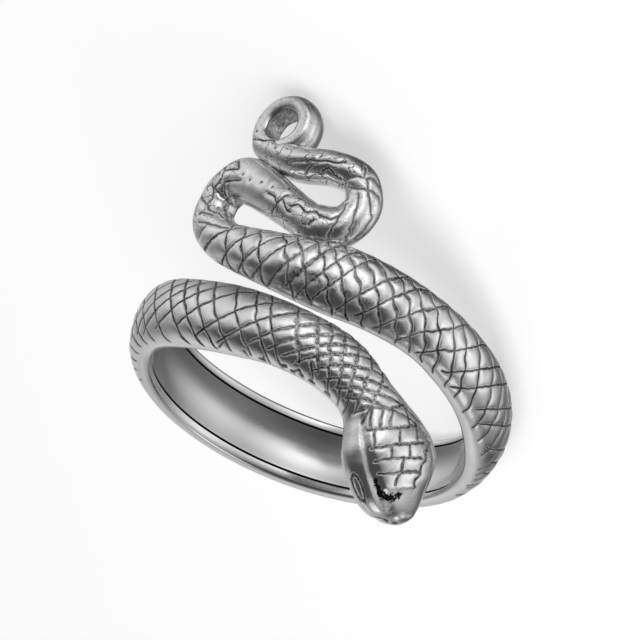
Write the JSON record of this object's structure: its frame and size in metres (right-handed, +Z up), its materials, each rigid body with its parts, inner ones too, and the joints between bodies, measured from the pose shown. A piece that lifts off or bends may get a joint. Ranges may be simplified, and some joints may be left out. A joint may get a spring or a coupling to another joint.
{
  "type": "snake wrap ring",
  "caption": "Cast silver finger ring shaped as a scaled snake that wraps the finger, with a flat-backed head and a tail that curls to a small eye.",
  "frame": {"origin": "middle of the ring's bounding box on the floor that it lies on, at z = 0", "axes": "+Z up; the ring lies on its side, tail down, with its finger hole leaning towards -X and the snake's front facing -Y"},
  "size_m": [0.0236, 0.0214, 0.0141],
  "materials": {
    "silver": "polished cast silver with darkened grooves"
  },
  "bodies": {
    "root": {"snake_ring": "silver"}
  },
  "joints": []
}
